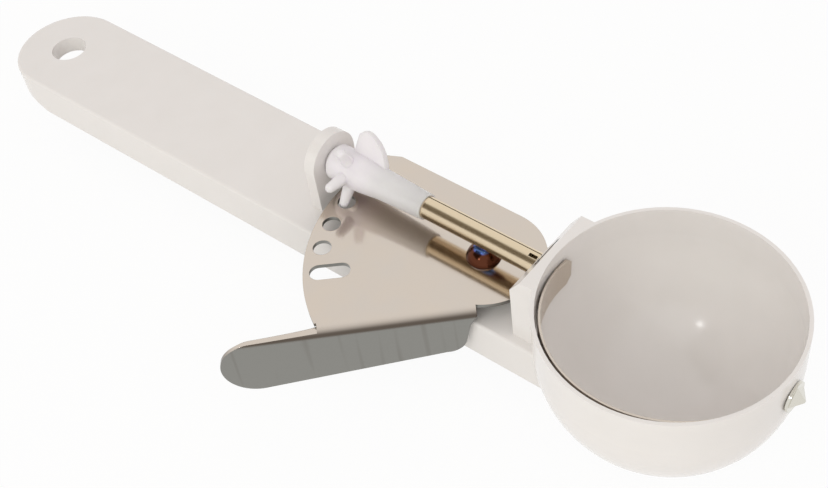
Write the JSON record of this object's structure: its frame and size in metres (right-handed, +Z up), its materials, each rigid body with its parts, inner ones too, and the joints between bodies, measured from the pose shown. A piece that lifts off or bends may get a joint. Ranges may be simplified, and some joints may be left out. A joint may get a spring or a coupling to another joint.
{
  "type": "lever ice cream scoop",
  "caption": "One-piece handle and deep round bowl with a squeeze lever whose perforated sector turns a finger pinion and sweeps a scraper hoop through the bowl.",
  "frame": {"origin": "centre of the hanging hole, on the handle's top face", "axes": "+X along the handle towards the bowl, +Z up out of the bowl's mouth, the thumb lever on the -Y side"},
  "size_m": [0.2341, 0.0796, 0.0386],
  "materials": {
    "white_moulding": "smooth moulded, softly glossy",
    "lever_steel": "rolled sheet, lightly polished",
    "natural_nylon": "translucent moulded nylon",
    "shank_steel": "polished rolled tube",
    "blade_steel": "rolled strip",
    "pin_steel": "polished",
    "rivet_steel": "polished dome",
    "washer_steel": "pressed",
    "spring_wire": "drawn wire"
  },
  "bodies": {
    "root": {"handle_and_bowl": "white_moulding", "pivot_rivet": "rivet_steel", "rivet_washer": "washer_steel", "return_spring": "spring_wire"},
    "lever": {"lever_plate": "lever_steel"},
    "scraper": {"pinion": "natural_nylon", "scraper_shank": "shank_steel", "scraper_blade": "blade_steel", "tip_pin": "pin_steel"}
  },
  "joints": [
    {"name": "lever_squeeze", "type": "hinge", "parent": "root", "child": "lever", "pos_m": [0.1438, 0, 0.0045], "axis": [0, 0, -1], "range_deg": [0, 33], "stiffness_Nm_per_rad": 0.3, "springref_deg": -17.19, "deforming": ["return_spring"]},
    {"name": "scraper_turn", "type": "hinge", "parent": "root", "child": "scraper", "pos_m": [0.1072, 0, 0.0115], "axis": [1, 0, 0], "range_deg": [0, 173.3]}
  ],
  "couplings": [
    {"joint": "scraper_turn", "follows": "lever_squeeze", "ratio": 5.25}
  ]
}
